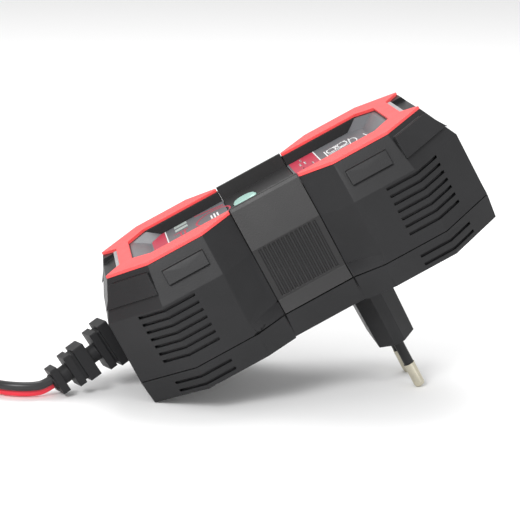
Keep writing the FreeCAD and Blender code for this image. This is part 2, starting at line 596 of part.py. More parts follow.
# ---------------------------------------------------------------- electronics
def electronics():
    top = "board_z +board_thick"
    board = box("main_board_plate", "mid_x -board_half_length", "-board_half_width", "board_z",
                "board_half_length +board_half_length", "board_half_width +board_half_width",
                "board_thick")
    holes = [rod(f"board_hole_{i}", "mid_x " + signed(x, "post_x"), flip(y, "post_y"),
                 "board_z -1", "post_hole_r +0.2", "4") for i, (x, y) in enumerate(CORNERS)]
    finish(cut("MainBoard", board, *holes), "main_board")
    screws = [fuse(f"board_screw_{i}",
                   rod(f"board_shaft_{i}", "mid_x " + signed(x, "post_x"), flip(y, "post_y"),
                       "board_z -5", "screw_shaft_r", "5 +board_thick"),
                   rod(f"board_head_{i}", "mid_x " + signed(x, "post_x"), flip(y, "post_y"),
                       top, "screw_head_r", "screw_head")) for i, (x, y) in enumerate(CORNERS)]
    screws += [fuse(f"hanger_screw_{tag}",
                    rod(f"hanger_shaft_{tag}", "mid_x " + signed(way, "hanger_x"), "0",
                        "panel_board_z", "screw_shaft_r", "5 +board_thick"),
                    rod(f"hanger_head_{tag}", "mid_x " + signed(way, "hanger_x"), "0",
                        "panel_board_z -screw_head", "screw_head_r", "screw_head"))
               for tag, way in (("left", -1), ("right", 1))]
    finish(group("BoardScrews", *screws), "board_screws")
    case_screws = []
    for i, (x, y) in enumerate(CORNERS):
        shaft = boss(f"case_shaft_{i}", x, y, "case_head_low +case_head",
                     "case_screw_top -case_head_low -case_head", "case_screw_r")
        head = boss(f"case_head_{i}", x, y, "case_head_low", "case_head", "case_head_r")
        slot = rod(f"case_socket_{i}", "mid_x " + signed(x, "boss_x"), flip(y, "boss_y"),
                   "case_head_low -0.5", "1.1", "1.6")
        case_screws.append(cut(f"case_screw_{i}", fuse(f"case_screw_solid_{i}", shaft, head), slot))
    finish(group("HousingScrews", *case_screws), "housing_screws")

    coil_low = box("core_low", "mid_x +8", "-13", top, "24", "26", "4")
    coil_high = box("core_high", "mid_x +8", "-13", "board_z +13.6", "24", "26", "3.4")
    leg = box("core_leg", "mid_x +16", "-13", top, "8", "26", "15")
    finish(fuse("TransformerCore", coil_low, coil_high, leg), "transformer_core")
    winding = cut("TransformerWinding",
                  box("winding_block", "mid_x +11", "-9.5", "board_z +5.8", "18", "19", "7.6"),
                  box("winding_room", "mid_x +15.9", "-14", "board_z +5", "8.2", "28", "10"))
    finish(winding, "transformer_winding")
    finish(rod("BulkCapacitor", "mid_x -12", "-13", "board_z +8.2", "6.3", "17", "x"), "bulk_capacitor")
    finish(group("OutputCapacitors",
                 rod("output_cap_a", "mid_x -36.5", "13", top, "4", "12"),
                 rod("output_cap_b", "mid_x -36.5", "-13", top, "4", "12")), "output_capacitors")
    fins = [box(f"fin_{i}", "mid_x -32", f"{3 + 3 * i}", "board_z +4", "14", "1.2", "10") for i in range(5)]
    sink_base = box("sink_base", "mid_x -32", "3", top, "14", "13.2", "3")
    finish(fuse("HeatSink", sink_base, *fins), "heat_sink")
    finish(group("PowerTransistors",
                 box("transistor_a", "mid_x -31", "-4", top, "5", "4.6", "8"),
                 box("transistor_b", "mid_x -24", "-4", top, "5", "4.6", "8")), "power_transistors")
    finish(rod("MainsFuse", "mid_x +36", "-10", "board_z +4.6", "2.6", "20", "y"), "mains_fuse")
    choke = doc.addObject("Part::Torus", "FilterChoke")
    choke.Radius1 = 5.2
    choke.Radius2 = 2.6
    place(choke, "mid_x -4", "9", "board_z +4.3")
    finish(choke, "filter_choke")
    finish(box("ControllerChip", "mid_x -20", "16.5", top, "9", "4.4", "1.6"), "controller_chip")
    finish(box("OutputTerminal", "mid_x -48", "-6", top, "7", "12", "12"), "output_terminal")
    wires = [rod(f"output_wire_{tag}", "mid_x -57", y, "outlet_z", "1.2", "9", "x")
             for tag, y in (("red", "-2.2"), ("black", "2.2"))]
    finish(group("InnerOutputWires", *wires), "inner_output_wires")
    leads = [rod(f"mains_lead_{tag}", "0", "0", "pin_root", "1.0", "board_z -pin_root")
             for tag, way in pin_spots()]
    for lead, (tag, way) in zip(leads, pin_spots()):
        lead.setExpression("Placement.Base.y", f"{way} * Sizes.pin_spacing / 2")
    finish(group("MainsLeads", *leads), "mains_leads")

    panel_board = box("panel_plate", "mid_x -panel_board_half", "-panel_board_half_width",
                      "panel_board_z", "panel_board_half +panel_board_half",
                      "panel_board_half_width +panel_board_half_width", "board_thick")
    panel_holes = [rod(f"panel_hole_{tag}", "mid_x " + signed(way, "hanger_x"), "0",
                       "panel_board_z -1", "post_hole_r +0.2", "4") for tag, way in (("left", -1), ("right", 1))]
    finish(cut("DisplayBoard", panel_board, *panel_holes), "display_board")
    high = "panel_board_z +board_thick"
    lamps = [rod(f"lamp_{i}", f"mid_x {'+' if x > 0 else '-'}{abs(x)}", "0", high, "1.5", "4.2")
             for i, x in enumerate((-20, -14, 12, 18))]
    finish(group("StatusLeds", *lamps), "status_leds")
    switch = fuse("ModeSwitch",
                  box("switch_body", "mid_x +button_x -3", "button_y -3", high, "6", "6", "2"),
                  rod("switch_plunger", "mid_x +button_x", "button_y", "panel_board_z +3.6", "1.4", "0.6"))
    finish(switch, "mode_switch")


# ---------------------------------------------------------------- strain relief
RELIEF_PLATES = (  # distance from the wall, length, height, width
    (2.6, 3.8, 16.8, 11.0), (7.6, 2.8, 14.6, 10.2), (13.8, 4.4, 13.0, 9.6),
    (19.6, 2.8, 12.0, 9.0), (25.8, 2.8, 9.8, 8.4),
)
RELIEF_WEBS = ((6.3, 1.4, 13.0, 8.6), (18.1, 1.6, 10.4, 7.4))


def strain_relief():
    pieces = [rod("relief_core", "-29.5", "0", "0", "3.15", "35.6", "x")]
    for i, (start, length, tall, wide) in enumerate(RELIEF_PLATES + RELIEF_WEBS):
        pieces.append(box(f"relief_plate_{i}", f"-{start + length}", f"-{wide / 2}", f"-{tall / 2}",
                          f"{length}", f"{wide}", f"{tall}"))
    pieces.append(box("relief_collar", "4.1", "-5", "-5", "2", "10", "10"))
    pieces.append(rod("relief_neck", "-2.1", "0", "0", "3.6", "6.3", "x"))
    relief = fuse("relief_straight", *pieces)
    bore = cut("StrainRelief", relief, rod("relief_bore", "2", "0", "0", "1.9", "5", "x"))
    bore.Placement = Placement(
        Vector(size("outlet_x"), 0, size("outlet_z")),
        Rotation(size("relief_yaw"), size("relief_pitch"), 0))
    return finish(bore, "strain_relief")


# ---------------------------------------------------------------- lead, coil and tails
def path_wire(points):
    """Straight runs joined by tangent arcs; returns the wire and the arc radii."""
    spots = [Vector(*p) for p in points]
    edges, radii, start = [], [], spots[0]
    for before, at, after in zip(spots, spots[1:], spots[2:]):
        inward, outward = (at - before), (after - at)
        half = inward.getAngle(outward) / 2
        radius = 0.45 * min(inward.Length, outward.Length) / math.tan(half)
        setback = radius * math.tan(half)
        first = at - inward.normalize() * setback
        last = at + outward.normalize() * setback
        to_centre = ((first - at) + (last - at)).normalize()
        middle = at + to_centre * (radius / math.cos(half) - radius)
        edges.append(Part.LineSegment(start, first).toShape())
        edges.append(Part.Arc(first, middle, last).toShape())
        radii.append(radius)
        start = last
    edges.append(Part.LineSegment(start, spots[-1]).toShape())
    return Part.Wire(edges), radii


def tube(name, points, diameter, label):
    wire, radii = path_wire(points)
    first = Vector(*points[1]) - Vector(*points[0])
    ring = Part.Wire(Part.Circle(Vector(*points[0]), first, diameter / 2).toShape())
    shell = wire.makePipeShell([ring], True, False)
    expected = math.pi * diameter ** 2 / 4 * wire.Length
    print(label, "length", round(wire.Length, 1), "radii", [round(r, 1) for r in radii],
          "volume", round(shell.Volume, 1), "expected", round(expected, 1))
    thing = doc.addObject("Part::Feature", name)
    thing.Shape = shell
    return finish(thing, label, tipped=False)


# Routes of the free lead on the table, from the strain relief to the coil and on to the clamps.
LEAD_ROUTE = [
    (-74.6, -8.2, 5.6), (-77.8, -9.4, 3.7), (-81.3, -10.3, 3.2), (-86.7, -10.0, 3.2),
    (-92.3, -7.8, 3.2), (-97.2, -3.2, 3.2), (-101.5, 5.6, 3.2), (-111.0, 13.9, 3.2),
    (-120.8, 21.0, 3.2), (-129.6, 26.9, 3.2),
]
CLAMP_LEAD_ROUTE = [
    (-175.9, 18.2, 9.6), (-181.2, 11.4, 8.2), (-187.2, 5.6, 4.6), (-194.3, 2.0, 3.2),
    (-202.4, 0.5, 3.2), (-211.2, 0.1, 3.2), (-220.0, 0.0, 3.2),
]
TAIL_ROUTE = [  # of the upper clamp, measured from the middle line between the clamps
    (-230.4, 1.9, 3.2), (-235.3, 3.5, 2.5), (-241.7, 8.4, 1.8), (-252.0, 10.6, 1.6),
    (-264.2, 13.2, 1.6),
]


def lead_parts():
    tube("OutputLead", LEAD_ROUTE, size("lead_d"), "output_lead")
    tube("ClampLead", CLAMP_LEAD_ROUTE, size("lead_d"), "clamp_lead")
    for tag, way in CLAMPS:
        route = [(x, size("coil_y") + way * y, z) for x, y, z in TAIL_ROUTE]
        tube(f"Tail_{tag}", route, size("tail_d"), f"{tag}_tail")
    coil = cut("LeadCoil",
               rod("coil_full", "coil_x", "coil_y", "0", "coil_mid_r +coil_half_width", "coil_height"),
               rod("coil_eye", "coil_x", "coil_y", "-1", "coil_mid_r -coil_half_width", "coil_height +2"))
    finish(coil, "lead_coil", tipped=False)
    band = cut("CoilTie",
               box("tie_full", "coil_x +coil_mid_r -coil_half_width -tie_thick", "coil_y -4.5", "0",
                   "coil_half_width +coil_half_width +tie_thick +tie_thick", "tie_width",
                   "coil_height +tie_thick"),
               box("tie_room", "coil_x +coil_mid_r -coil_half_width", "coil_y -5.5", "0.5",
                   "coil_half_width +coil_half_width", "tie_width +2", "coil_height -0.5"))
    finish(band, "coil_tie", tipped=False)
    outline_points = [("splitter_x", "coil_y -3.7"), ("splitter_x -3", "coil_y -splitter_half"),
                      ("splitter_x -splitter_length +2", "coil_y -splitter_half"),
                      ("splitter_x -splitter_length", "coil_y -3.6"),
                      ("splitter_x -splitter_length", "coil_y +3.6"),
                      ("splitter_x -splitter_length +2", "coil_y +splitter_half"),
                      ("splitter_x -3", "coil_y +splitter_half"), ("splitter_x", "coil_y +3.7")]
    finish(prism("LeadSplitter", outline_points, "0", "splitter_height"), "lead_splitter", tipped=False)


# ---------------------------------------------------------------- battery clamps
CLAMPS = (("red", 1), ("black", -1))


def clamp_half(name, side, centre):
    """Outline of one half: jaw towards -X, handle towards +X, on one side of the pivot."""
    half = [
        (-38.0, 1.4), (-38.0, 4.6), (-35.5, 6.9), (-30.0, 9.0), (-9.0, 9.8), (0.0, 9.4),
        (10.0, 10.6), (36.0, 17.0), (37.5, 16.2), (37.5, 14.2), (15.0, 8.2), (8.0, 6.6),
        (-6.0, 6.6), (-9.5, 5.2), (-15.5, 1.4),
    ]
    points = [(f"clamp_x {x:+}", f"{centre} {side * y:+}") for x, y in half]
    return prism(name, points, "0", "clamp_thick")


def ear(name, side, centre, low, height):
    disc = rod(name + "_disc", "clamp_x", centre, low, "ear_r", height)
    root = "-ear_free -1" if side < 0 else ""
    web = box(name + "_web", "clamp_x -5", f"{centre} {root}", low, "10", "ear_free +1", height)
    return fuse(name, disc, web)


def clamp_parts(tag, way):
    centre = f"coil_y {flip(way, '+clamp_offset')}"
    inner, outer = -way, way
    low_ear = ear(f"{tag}_ear_low", inner, centre, "0", "ear_outer")
    high_ear = ear(f"{tag}_ear_high", inner, centre, "clamp_thick -ear_outer", "ear_outer")
    grip = box(f"{tag}_cord_grip", "clamp_x +9", f"{centre} {'-8.6' if inner < 0 else '+3.6'}", "0",
               "6", "5", "5")
    fixed = cut(f"FixedJaw_{tag}",
                fuse(f"{tag}_fixed_solid", clamp_half(f"{tag}_fixed_half", inner, centre),
                     low_ear, high_ear, grip),
                rod(f"{tag}_fixed_bore", "clamp_x", centre, "-1", "clamp_pin_r", "clamp_thick +2"),
                *grip_ridges(f"{tag}_fixed", inner, centre))
    finish(fixed, f"{tag}_clamp_fixed_jaw", tipped=False)
    middle = ear(f"{tag}_ear_middle", outer, centre, "ear_outer +ear_play",
                 "clamp_thick -ear_outer -ear_outer -ear_play -ear_play")
    moving = cut(f"MovingJaw_{tag}",
                 fuse(f"{tag}_moving_solid", clamp_half(f"{tag}_moving_half", outer, centre), middle),
                 rod(f"{tag}_moving_bore", "clamp_x", centre, "-1", "clamp_pin_r +clamp_pin_play",
                     "clamp_thick +2"),
                 *grip_ridges(f"{tag}_moving", outer, centre))
    finish(moving, f"{tag}_clamp_moving_jaw", tipped=False)
    finish(rod(f"PivotPin_{tag}", "clamp_x", centre, "0.2", "clamp_pin_r", "clamp_thick -0.4"),
           f"{tag}_clamp_pivot_pin", tipped=False)
    spring = cut(f"Spring_{tag}",
                 rod(f"{tag}_spring_full", "clamp_x +spring_x", f"{centre} -spring_half", "7",
                     "spring_r", "spring_half +spring_half", "y"),
                 rod(f"{tag}_spring_bore", "clamp_x +spring_x", f"{centre} -spring_half -1", "7",
                     "spring_bore", "spring_half +spring_half +2", "y"))
    finish(spring, f"{tag}_clamp_spring", tipped=False)
    for half, side in (("fixed", inner), ("moving", outer)):
        finish(contact(f"Contact_{tag}_{half}", side, centre), f"{tag}_clamp_{half}_contact",
               tipped=False)


def grip_ridges(name, side, centre):
    """Cross grooves on the outside of a handle."""
    slots = []
    for i in range(5):
        x = 17.0 + 3.6 * i
        y = 10.6 + (x - 10.0) * 6.4 / 26.0
        low = y - 0.2 if side > 0 else -y - 1.6
        slots.append(box(f"{name}_ridge_{i}", f"clamp_x {x:+}", f"{centre} {low:+}", "-1", "1.6",
                         "1.8", "clamp_thick +2"))
    return slots


def contact(name, side, centre):
    """A toothed copper strip that lines a jaw."""
    teeth = [(-37.5, 1.4)]
    for i in range(8):
        teeth += [(-37.5 + 2.5 * i, 0.3), (-36.4 + 2.5 * i, 1.0)]
    teeth.append((-17.5, 1.4))
    points = [(f"clamp_x {x:+.2f}", f"{centre} {side * y:+.2f}") for x, y in teeth]
    return prism(name, points, "contact_low", "contact_tall")


doc.recompute()
upper_housing()
lower_housing()
for tag, way in (("left", -1), ("right", 1)):
    red_frame(tag, way)
    label_panel(tag, way)
finish(group("EndTrimStrips", *end_strips()), "end_trim_strips")
centre_band()
mode_button()
plug_parts()
electronics()
strain_relief()
lead_parts()
for tag, way in CLAMPS:
    clamp_parts(tag, way)

doc.recompute()
stand = Placement(Vector(size("rest_shift"), 0, size("rest_lift")),
                  Rotation(Vector(0, 1, 0), -size("rest_angle")))
for thing, tipped in NODES:
    if tipped:
        thing.Placement = stand.multiply(thing.Placement)
doc.recompute()

for thing in doc.Objects:
    state = set(getattr(thing, "State", []))
    if state & {"Invalid", "Error"}:
        raise RuntimeError(f"{thing.Name}: {thing.State}")
for thing, tipped in NODES:
    shape = thing.Shape
    if shape.isNull() or not shape.isValid() or not shape.Solids:
        raise RuntimeError(f"{thing.Label}: not a valid solid")
for thing, tipped in NODES:
    thing.Shape.exportStep(f"parts/{thing.Label}.step")
    print(thing.Label, round(thing.Shape.Volume / 1000, 3), "cm3")
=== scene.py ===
import json
import math

import bmesh
import bpy
from mathutils import Matrix, Vector


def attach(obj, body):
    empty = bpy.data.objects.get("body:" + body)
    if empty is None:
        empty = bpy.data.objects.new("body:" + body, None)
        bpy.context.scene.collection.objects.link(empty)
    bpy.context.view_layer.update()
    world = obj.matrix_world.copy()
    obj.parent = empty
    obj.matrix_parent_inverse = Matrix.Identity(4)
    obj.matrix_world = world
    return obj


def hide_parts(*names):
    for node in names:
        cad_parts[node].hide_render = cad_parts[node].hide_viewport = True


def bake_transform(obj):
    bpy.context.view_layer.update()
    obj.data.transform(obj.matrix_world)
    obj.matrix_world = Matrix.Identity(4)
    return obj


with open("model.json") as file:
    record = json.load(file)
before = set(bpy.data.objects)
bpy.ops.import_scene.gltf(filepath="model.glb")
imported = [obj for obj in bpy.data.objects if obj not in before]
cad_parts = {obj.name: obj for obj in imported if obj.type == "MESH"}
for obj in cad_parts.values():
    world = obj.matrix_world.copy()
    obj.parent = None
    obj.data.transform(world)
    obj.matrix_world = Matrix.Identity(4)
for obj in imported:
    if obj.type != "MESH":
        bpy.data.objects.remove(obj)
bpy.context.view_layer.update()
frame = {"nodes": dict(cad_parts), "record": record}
scene = bpy.context.scene
MM = 0.001

# The charger is drawn in its own design frame, in millimetres: origin midway between the two
# pins at the ends of their collars, +Z towards the label side. TIP brings it to its resting
# pose on the table.
TIP = (
    Matrix.Translation((0.04645, 0, 0.01714))
    @ Matrix.Rotation(math.radians(-28.40), 4, "Y")
    @ Matrix.Scale(MM, 4)
)
MID_X = -17.5  # middle of the housing in the design frame
CLAMPS = {"red": 1, "black": -1}  # each clamp, and the side of the middle line it lies on


# ---------------------------------------------------------------- camera
CAMERA_PLACE = (-0.0784, -0.5695, 0.1781)
CAMERA_AIM = Vector((0.1298, 0.9656, -0.2252)).normalized()
CAMERA_ROLL = math.radians(0.73)


def make_camera():
    camera = bpy.data.objects.new("camera", bpy.data.cameras.new("camera"))
    scene.collection.objects.link(camera)
    camera.data.sensor_width = 36
    camera.data.lens = 115.8
    camera.data.clip_end = 20
    right = CAMERA_AIM.cross(Vector((0, 0, 1))).normalized()
    upright = Matrix((right, right.cross(CAMERA_AIM), -CAMERA_AIM)).transposed()
    roll = Matrix.Rotation(CAMERA_ROLL, 3, "Z")
    camera.matrix_world = Matrix.Translation(CAMERA_PLACE) @ (upright @ roll).to_4x4()
    scene.camera = camera


make_camera()


# ---------------------------------------------------------------- materials
def new_material(name):
    material = bpy.data.materials.new(name)
    material.use_nodes = True
    tree = material.node_tree
    return material, tree, tree.nodes["Principled BSDF"]


def speckle(tree, scale, detail):
    """Noise over the piece's own coordinates; scale is in features per metre."""
    place = tree.nodes.new("ShaderNodeTexCoord")
    noise = tree.nodes.new("ShaderNodeTexNoise")
    noise.inputs["Scale"].default_value = scale
    noise.inputs["Detail"].default_value = detail
    tree.links.new(place.outputs["Object"], noise.inputs["Vector"])
    return noise.outputs["Fac"]


def ramp(tree, value, low, high):
    """Blend of two colours by a value."""
    mix = tree.nodes.new("ShaderNodeValToRGB")
    mix.color_ramp.elements[0].position = 0.35
    mix.color_ramp.elements[0].color = (*low, 1)
    mix.color_ramp.elements[1].position = 0.65
    mix.color_ramp.elements[1].color = (*high, 1)
    tree.links.new(value, mix.inputs["Fac"])
    return mix.outputs["Color"]


def spread(tree, value, low, high):
    """The value, stretched from 0..1 to low..high."""
    remap = tree.nodes.new("ShaderNodeMapRange")
    remap.inputs["To Min"].default_value = low
    remap.inputs["To Max"].default_value = high
    tree.links.new(value, remap.inputs["Value"])
    return remap.outputs["Result"]


def add_bump(tree, shader, value, strength, depth):
    bump = tree.nodes.new("ShaderNodeBump")
    bump.inputs["Strength"].default_value = strength
    bump.inputs["Distance"].default_value = depth
    tree.links.new(value, bump.inputs["Height"])
    tree.links.new(bump.outputs["Normal"], shader.inputs["Normal"])


PLASTIC_GRAIN = 0.00012  # depth of the moulded grain, in metres
SCRATCH_DEPTH = 0.00001  # depth of the scratches in metal, in metres


def plastic(name, colour, rough, grain=2600, bump=0.25, vary=0.12, specular=0.5, coat=0.0):
    """Moulded plastic: fine spark-eroded grain, faint cloudiness and handling marks."""
    material, tree, shader = new_material(name)
    cloud = speckle(tree, 45, 4)
    low = [c * (1 - vary) for c in colour]
    high = [min(1, c * (1 + vary)) for c in colour]
    tree.links.new(ramp(tree, cloud, low, high), shader.inputs["Base Color"])
    marks = spread(tree, speckle(tree, 160, 5), rough - 0.06, rough + 0.08)
    tree.links.new(marks, shader.inputs["Roughness"])
    shader.inputs["Specular IOR Level"].default_value = specular
    shader.inputs["Coat Weight"].default_value = coat
    add_bump(tree, shader, speckle(tree, grain, 1), bump, PLASTIC_GRAIN)
    return material


def metal(name, colour, rough, brushed=900):
    """Turned or drawn metal with fine scratches."""
    material, tree, shader = new_material(name)
    shader.inputs["Metallic"].default_value = 1
    scratch = speckle(tree, brushed, 6)
    low = [c * 0.82 for c in colour]
    tree.links.new(ramp(tree, speckle(tree, 120, 3), low, colour), shader.inputs["Base Color"])
    tree.links.new(spread(tree, scratch, rough - 0.08, rough + 0.12), shader.inputs["Roughness"])
    add_bump(tree, shader, scratch, 0.05, SCRATCH_DEPTH)
    return material


BLACK = (0.0135, 0.0135, 0.0145)
looks = {
    "housing_black": plastic("black_abs", BLACK, rough=0.42, specular=0.28),
    "band_black": plastic("black_abs_band", (0.017, 0.0165, 0.017), rough=0.38, specular=0.34),
    "red_frame": plastic("red_abs", (0.92, 0.085, 0.085), rough=0.4, bump=0.12, vary=0.03,
                         specular=0.4),
    "trim_grey": plastic("pale_trim", (0.36, 0.36, 0.37), rough=0.4),
    "label_print": plastic("label_grey", (0.13, 0.135, 0.145), rough=0.33, bump=0.08, vary=0.06,
                           specular=0.4),
    "button_mint": plastic("mint_plastic", (0.36, 0.6, 0.53), rough=0.28, bump=0.08, vary=0.05, coat=0.3),
    "nickel_plate": metal("nickel", (0.66, 0.62, 0.5), rough=0.22, brushed=2600),
    "sleeve_black": plastic("sleeve_plastic", (0.012, 0.012, 0.013), rough=0.4, specular=0.3),
    "circuit_board": plastic("board_green", (0.02, 0.12, 0.05), rough=0.35, grain=1200),
    "screw_steel": metal("screw_zinc", (0.6, 0.6, 0.62), rough=0.35),
    "ferrite": plastic("ferrite_dark", (0.04, 0.04, 0.043), rough=0.6, grain=1500),
    "copper": metal("copper_bare", (0.85, 0.42, 0.24), rough=0.3),
    "capacitor_sleeve": plastic("shrink_sleeve", (0.02, 0.025, 0.06), rough=0.25),
    "heat_sink": metal("sink_aluminium", (0.72, 0.72, 0.74), rough=0.4),
    "chip_black": plastic("epoxy_black", (0.02, 0.02, 0.02), rough=0.5),
    "fuse_glass": plastic("fuse_tube", (0.6, 0.66, 0.66), rough=0.1, bump=0.02),
    "terminal_green": plastic("terminal_plastic", (0.03, 0.2, 0.08), rough=0.4),
    "led_lens": plastic("lamp_lens", (0.4, 0.62, 0.5), rough=0.2, bump=0.03),
    "relief_black": plastic("soft_pvc", (0.012, 0.012, 0.013), rough=0.5, grain=1800, specular=0.28),
    "lead_black": plastic("pvc_black", (0.014, 0.014, 0.015), rough=0.36, grain=1500, bump=0.1),
    "lead_red": plastic("pvc_red", (0.78, 0.025, 0.05), rough=0.34, grain=1500, bump=0.1),
    "tie_fabric": plastic("strap_fabric", (0.03, 0.03, 0.035), rough=0.85, grain=1400, bump=0.8),
    "clamp_red": plastic("clamp_red_plastic", (0.68, 0.03, 0.045), rough=0.35, coat=0.1),
    "clamp_black": plastic("clamp_black_plastic", (0.02, 0.02, 0.021), rough=0.38),
    "spring_steel": metal("spring_wire", (0.6, 0.6, 0.62), rough=0.3),
}
inks = {
    "white": plastic("ink_white", (0.72, 0.73, 0.73), rough=0.5, bump=0.0, vary=0.02),
    "crimson": plastic("ink_crimson", (0.46, 0.035, 0.07), rough=0.4, bump=0.0, vary=0.03),
    "pale": plastic("ink_pale", (0.36, 0.42, 0.4), rough=0.5, bump=0.0, vary=0.03),
}
slot_of = {part["node"]: part["material_slot"] for part in frame["record"]["subparts"]}


def show_piece(piece, slot, body, replaced):
    """Finish a piece with its material slot's look and let it ride on a CAD body."""
    scene.collection.objects.link(piece)
    if not piece.data.materials:
        piece.data.materials.append(looks[slot])
    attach(piece, body)
    if replaced:
        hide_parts(*replaced)
    return piece


def new_piece(name, data, slot, replaced=()):
    return show_piece(bpy.data.objects.new(name, data), slot, "root", replaced)


# ---------------------------------------------------------------- rounded edges
SHARP = math.radians(9)  # edges that turn by more than this are rounded
WELD = 0.000002  # in metres; corners closer than this are one
TRIM_EDGE = 0.2  # widths of the rounded edges, in millimetres
HOUSING_EDGE = 0.25
SOFT_EDGE = 0.35
JAW_EDGE = 0.4


def rounded(node, width, body="root"):
    """A copy of a CAD node with its sharp moulding edges rounded, shown in the node's place."""
    source = frame["nodes"][node]
    mesh = source.data.copy()
    work = bmesh.new()
    work.from_mesh(mesh)
    bmesh.ops.remove_doubles(work, verts=work.verts, dist=WELD)
    for face in work.faces:
        face.smooth = True
    work.to_mesh(mesh)
    work.free()
    mesh.set_sharp_from_angle(angle=SHARP)
    mesh.name = node + "_rounded"
    mesh.materials.clear()
    piece = bpy.data.objects.new(node + "_rounded", mesh)
    piece.matrix_world = source.matrix_world
    show_piece(piece, slot_of[node], body, (node,))
    edges = piece.modifiers.new("edges", "BEVEL")
    edges.width = width * MM
    edges.segments = 2
    edges.limit_method = "ANGLE"
    edges.angle_limit = SHARP
    edges.use_clamp_overlap = False
    edges.harden_normals = True
    return piece


# ---------------------------------------------------------------- leads
LEAD_ROUTE = [
    (-74.6, -8.2, 5.6), (-77.8, -9.4, 3.7), (-81.3, -10.3, 3.2), (-86.7, -10.0, 3.2),
    (-92.3, -7.8, 3.2), (-97.2, -3.2, 3.2), (-101.5, 5.6, 3.2), (-111.0, 13.9, 3.2),
    (-120.8, 21.0, 3.2), (-129.6, 26.9, 3.2),
]
CLAMP_LEAD_ROUTE = [
    (-175.9, 18.2, 9.6), (-181.2, 11.4, 8.2), (-187.2, 5.6, 4.6), (-194.3, 2.0, 3.2),
    (-202.4, 0.5, 3.2), (-211.2, 0.1, 3.2), (-220.0, 0.0, 3.2),
]
TAIL_ROUTE = [  # to the red clamp; the tail of the black one is its mirror image
    (-230.4, 1.9, 3.2), (-235.3, 3.5, 2.5), (-241.7, 8.4, 1.8), (-252.0, 10.6, 1.6),
    (-264.2, 13.2, 1.6),
]
CORE_R = 1.6  # radius of one conductor
COIL = Vector((-148.4, 0, 0))
COIL_START = 60  # degrees, where the lead meets the coil
COIL_TURNS = (32.2, 25.8, 19.4, 19.4, 25.8, 32.2, 32.2)  # radius of each turn
COIL_SWEEP = 6 * 360 + 75  # degrees, from the first turn to the last
COIL_STEP = 22.5  # degrees, roughly, between the points of its route
LOW_LAYER, HIGH_LAYER = 3.2, 9.7  # heights of the two layers of turns
TWIST_LEAN = math.radians(-38)  # lean of the black conductor over the red one
TWIST_START = 0.045  # metres of lead before the conductors start to twist
TWIST_PITCH = 0.11  # metres of lead in one turn of the twist
TUBE_SIDES = 14


def eased(value):
    value = min(1, max(0, value))
    return value * value * (3 - 2 * value)


def coil_points():
    """Turns wound outside to inside on the table, then inside to outside on top of them."""
    steps = round(COIL_SWEEP / COIL_STEP)
    inward = math.cos(math.radians(COIL_SWEEP / steps / 2))
    points = []
    for i in range(1, steps + 1):
        angle = COIL_SWEEP * i / steps
        turn, part = int(angle // 360), angle % 360
        following = COIL_TURNS[min(turn + 1, len(COIL_TURNS) - 1)]
        radius = COIL_TURNS[turn] + (following - COIL_TURNS[turn]) * eased((part - 300) / 60)
        rise = eased((part - 240) / 60) if turn == 2 else float(turn > 2)
        way = math.radians(COIL_START + angle)
        height = LOW_LAYER + (HIGH_LAYER - LOW_LAYER) * rise
        across = radius / inward
        points.append((COIL.x + across * math.cos(way), COIL.y + across * math.sin(way), height))
    return points


def nurbs(name, points, thickness=0.0):
    curve = bpy.data.curves.new(name, "CURVE")
    curve.dimensions = "3D"
    spline = curve.splines.new("NURBS")
    spline.points.add(len(points) - 1)
    for spot, point in zip(spline.points, points):
        spot.co = (*[c * MM for c in point], 1)
    spline.order_u = 3
    spline.use_endpoint_u = True
    spline.resolution_u = 8
    curve.bevel_depth = thickness * MM
    curve.bevel_resolution = 6
    curve.use_fill_caps = True
    return curve


def curve_mesh(curve):
    """The mesh of a curve, as its spline and thickness make it."""
    holder = bpy.data.objects.new(curve.name, curve)
    scene.collection.objects.link(holder)
    bpy.context.view_layer.update()
    graph = bpy.context.evaluated_depsgraph_get()
    mesh = bpy.data.meshes.new_from_object(holder.evaluated_get(graph))
    bpy.data.objects.remove(holder)
    return mesh


def centre_line(points):
    """Points read along the smooth spline of a route."""
    return [vertex.co.copy() for vertex in curve_mesh(nurbs("route", points)).vertices]


def core_tube(work, line, turns, radius, look):
    """One round conductor swept beside a line, turned about it by an angle at each point."""
    rings = []
    for i, spot in enumerate(line):
        ahead = (line[min(i + 1, len(line) - 1)] - line[max(i - 1, 0)]).normalized()
        side = ahead.cross(Vector((0, 0, 1))).normalized()
        up = side.cross(ahead)
        centre = spot + (up * math.cos(turns[i]) + side * math.sin(turns[i])) * radius
        ends = []
        for k in range(TUBE_SIDES):
            around = 2 * math.pi * k / TUBE_SIDES
            rim = (up * math.cos(around) + side * math.sin(around)) * radius
            ends.append(work.verts.new(centre + rim))
        rings.append(ends)
    for first, second in zip(rings, rings[1:]):
        for k in range(TUBE_SIDES):
            after = (k + 1) % TUBE_SIDES
            face = work.faces.new((first[k], first[after], second[after], second[k]))
            face.material_index = look
            face.smooth = True
    for cap in (rings[0][::-1], rings[-1]):
        work.faces.new(cap).material_index = look


def make_lead():
    """The twin lead: joined conductors, black above red at the charger, twisting further on."""
    line = centre_line(LEAD_ROUTE + coil_points() + CLAMP_LEAD_ROUTE)
    travel, turns = 0.0, []
    for before, spot in zip([line[0]] + line, line):
        travel += (spot - before).length
        turns.append(TWIST_LEAN + 2 * math.pi * max(0.0, travel - TWIST_START) / TWIST_PITCH)
    work = bmesh.new()
    core = CORE_R * MM
    core_tube(work, line, turns, core, 0)
    core_tube(work, line, [turn + math.pi for turn in turns], core, 1)
    mesh = bpy.data.meshes.new("output_lead_twin")
    work.normal_update()
    work.to_mesh(mesh)
    work.free()
    mesh.materials.append(looks["lead_black"])
    mesh.materials.append(looks["lead_red"])
    lead = new_piece("output_lead_twin", mesh, "lead_black",
                     replaced=("output_lead", "lead_coil", "clamp_lead"))
    rounded("lead_splitter", SOFT_EDGE)


